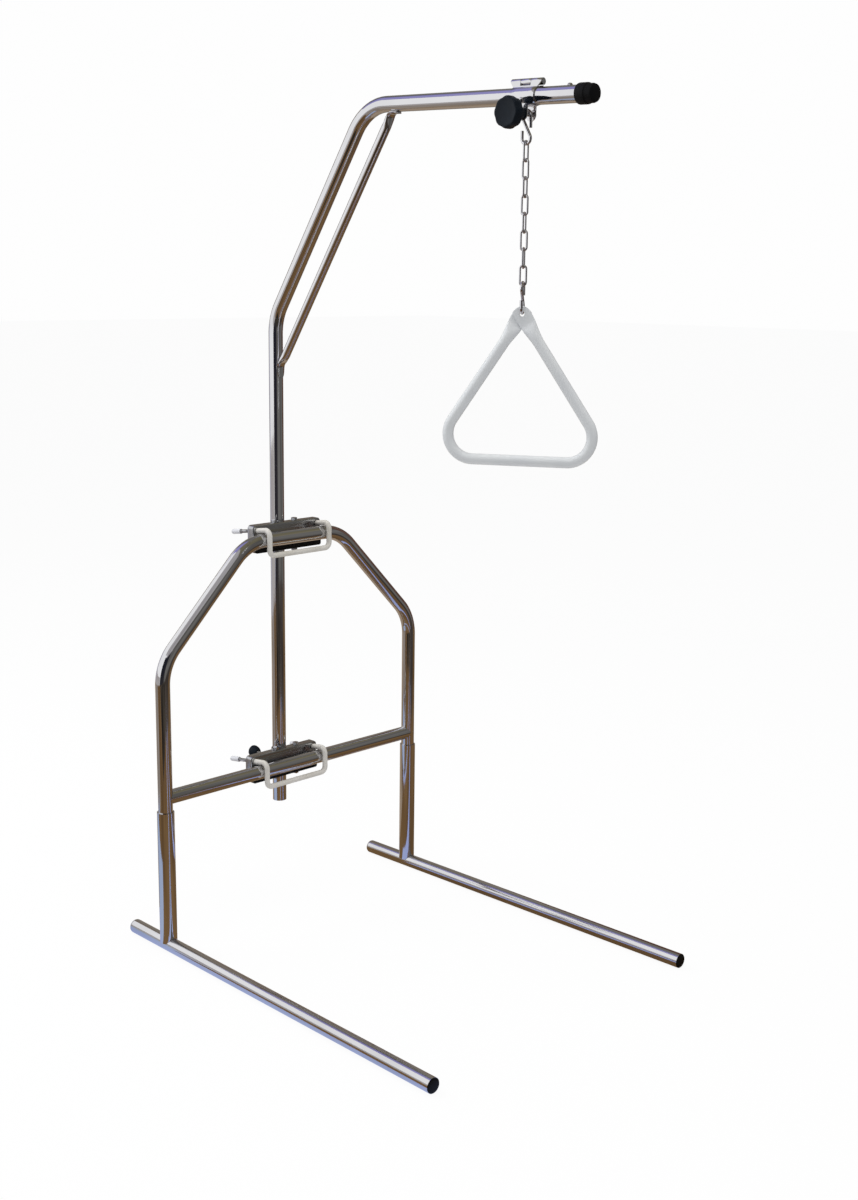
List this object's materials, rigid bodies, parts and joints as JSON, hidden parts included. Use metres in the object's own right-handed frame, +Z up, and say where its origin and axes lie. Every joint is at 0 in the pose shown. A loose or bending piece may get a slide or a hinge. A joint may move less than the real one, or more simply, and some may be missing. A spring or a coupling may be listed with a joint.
{
  "type": "bed trapeze",
  "caption": "Free-standing bed trapeze: tubular floor frame with an arch, a height-adjustable mast with a bent boom, and a triangular hand grip on a chain.",
  "frame": {"origin": "on the floor under the middle of the bounding box", "axes": "+Z up, +X forward along the boom and the floor legs, +Y to the far side"},
  "size_m": [1.0074, 0.8012, 1.8415],
  "materials": {
    "chrome": "bright chrome plate",
    "zinc_plated_steel": "smooth zinc or dull chrome plate",
    "white_coating": "satin white dip coating",
    "handle_enamel": "glossy white enamel on steel tube",
    "black_rubber": "matt",
    "black_plastic": "satin"
  },
  "bodies": {
    "stand": {"arch_frame": "chrome", "crossbar": "chrome", "floor_leg_far": "chrome", "floor_leg_near": "chrome", "leg_cap_far": "chrome", "leg_cap_near": "chrome", "leg_plug_far": "black_rubber", "leg_plug_near": "black_rubber", "leg_socket_far": "chrome", "leg_socket_near": "chrome", "lock_boss": "zinc_plated_steel", "lower_bracket": "zinc_plated_steel", "lower_pad": "black_rubber", "lower_strap": "zinc_plated_steel", "lower_strap_bolt_far": "zinc_plated_steel", "lower_strap_bolt_near": "zinc_plated_steel", "lower_strap_nut_far": "zinc_plated_steel", "lower_strap_nut_near": "zinc_plated_steel", "lower_thread_tip_far": "white_coating", "lower_thread_tip_near": "white_coating", "lower_u_bolt": "white_coating", "upper_bracket": "zinc_plated_steel", "upper_pad": "black_rubber", "upper_strap": "zinc_plated_steel", "upper_strap_bolt_far": "zinc_plated_steel", "upper_strap_bolt_near": "zinc_plated_steel", "upper_strap_nut_far": "zinc_plated_steel", "upper_strap_nut_near": "zinc_plated_steel", "upper_thread_tip_far": "white_coating", "upper_thread_tip_near": "white_coating", "upper_u_bolt": "white_coating"},
    "mast": {"mast_boom": "chrome", "brace": "chrome", "boom_end_cap": "black_rubber", "stop_screw": "chrome"},
    "boom_clamp": {"clamp_shell_near": "chrome", "clamp_shell_far": "chrome", "clamp_hinge_pin": "zinc_plated_steel", "clamp_nut": "zinc_plated_steel", "clamp_rivet": "chrome"},
    "clamp_knob": {"clamp_knob": "black_plastic", "clamp_stud": "zinc_plated_steel"},
    "upper_s_hook": {"upper_s_hook": "chrome"},
    "chain_link_1": {"chain_link_1": "chrome"},
    "chain_link_2": {"chain_link_2": "chrome"},
    "chain_link_3": {"chain_link_3": "chrome"},
    "chain_link_4": {"chain_link_4": "chrome"},
    "chain_link_5": {"chain_link_5": "chrome"},
    "chain_link_6": {"chain_link_6": "chrome"},
    "chain_link_7": {"chain_link_7": "chrome"},
    "chain_link_8": {"chain_link_8": "chrome"},
    "lower_s_hook": {"lower_s_hook": "chrome"},
    "handle": {"trapeze_handle": "handle_enamel"},
    "upper_wing_nut_near": {"upper_wing_nut_near": "zinc_plated_steel"},
    "upper_wing_nut_far": {"upper_wing_nut_far": "zinc_plated_steel"},
    "lower_wing_nut_near": {"lower_wing_nut_near": "zinc_plated_steel"},
    "lower_wing_nut_far": {"lower_wing_nut_far": "zinc_plated_steel"},
    "lock_knob": {"lock_knob": "black_plastic", "lock_screw": "chrome"}
  },
  "joints": [
    {"name": "mast_height", "type": "slide", "parent": "stand", "child": "mast", "axis": [0, 0, 1], "range_m": [-0.24, 0.06]},
    {"name": "clamp_reach", "type": "slide", "parent": "mast", "child": "boom_clamp", "axis": [0.9996, 0, -0.0291], "range_m": [-0.3, 0.055]},
    {"name": "clamp_knob_turn", "type": "hinge", "parent": "boom_clamp", "child": "clamp_knob", "pos_m": [0.33674, 0, 1.77661], "axis": [0, -1, 0], "continuous": true},
    {"name": "upper_hook_swing", "type": "hinge", "parent": "boom_clamp", "child": "upper_s_hook", "pos_m": [0.33674, 0, 1.77661], "axis": [0, 1, 0], "range_deg": [-25, 25]},
    {"name": "link_1_swing", "type": "hinge", "parent": "upper_s_hook", "child": "chain_link_1", "pos_m": [0.33674, 0, 1.72361], "axis": [-0.9979, -0.0654, 0], "range_deg": [-10, 10]},
    {"name": "link_2_swing", "type": "hinge", "parent": "chain_link_1", "child": "chain_link_2", "pos_m": [0.33674, 0, 1.69211], "axis": [-0.1305, 0.9914, 0], "range_deg": [-10, 10]},
    {"name": "link_3_swing", "type": "hinge", "parent": "chain_link_2", "child": "chain_link_3", "pos_m": [0.33674, 0, 1.65961], "axis": [-0.9808, -0.1951, 0], "range_deg": [-10, 10]},
    {"name": "link_4_swing", "type": "hinge", "parent": "chain_link_3", "child": "chain_link_4", "pos_m": [0.33674, 0, 1.62711], "axis": [-0.2588, 0.9659, 0], "range_deg": [-10, 10]},
    {"name": "link_5_swing", "type": "hinge", "parent": "chain_link_4", "child": "chain_link_5", "pos_m": [0.33674, 0, 1.59461], "axis": [-0.9469, -0.3214, 0], "range_deg": [-10, 10]},
    {"name": "link_6_swing", "type": "hinge", "parent": "chain_link_5", "child": "chain_link_6", "pos_m": [0.33674, 0, 1.56211], "axis": [-0.3827, 0.9239, 0], "range_deg": [-10, 10]},
    {"name": "link_7_swing", "type": "hinge", "parent": "chain_link_6", "child": "chain_link_7", "pos_m": [0.33674, 0, 1.52961], "axis": [-0.8969, -0.4423, 0], "range_deg": [-10, 10]},
    {"name": "link_8_swing", "type": "hinge", "parent": "chain_link_7", "child": "chain_link_8", "pos_m": [0.33674, 0, 1.49711], "axis": [-0.5, 0.866, 0], "range_deg": [-10, 10]},
    {"name": "lower_hook_swing", "type": "hinge", "parent": "chain_link_8", "child": "lower_s_hook", "pos_m": [0.33674, 0, 1.46461], "axis": [-0.866, -0.5, 0], "range_deg": [-15, 15]},
    {"name": "handle_swing", "type": "hinge", "parent": "lower_s_hook", "child": "handle", "pos_m": [0.33674, 0, 1.41291], "axis": [-0.5, 0.866, 0], "range_deg": [-35, 35]},
    {"name": "upper_wing_nut_near_turn", "type": "hinge", "parent": "stand", "child": "upper_wing_nut_near", "pos_m": [-0.36837, -0.088, 0.91416], "axis": [-0.9903, 0, -0.1392], "continuous": true},
    {"name": "upper_wing_nut_far_turn", "type": "hinge", "parent": "stand", "child": "upper_wing_nut_far", "pos_m": [-0.36837, 0.088, 0.91416], "axis": [-0.9903, 0, -0.1392], "continuous": true},
    {"name": "lower_wing_nut_near_turn", "type": "hinge", "parent": "stand", "child": "lower_wing_nut_near", "pos_m": [-0.36837, -0.102, 0.37516], "axis": [-0.9903, 0, -0.1392], "continuous": true},
    {"name": "lower_wing_nut_far_turn", "type": "hinge", "parent": "stand", "child": "lower_wing_nut_far", "pos_m": [-0.36837, 0.074, 0.37516], "axis": [-0.9903, 0, -0.1392], "continuous": true},
    {"name": "lock_knob_turn", "type": "hinge", "parent": "stand", "child": "lock_knob", "pos_m": [-0.41579, 0, 0.349], "axis": [-1, 0, 0], "continuous": true}
  ]
}
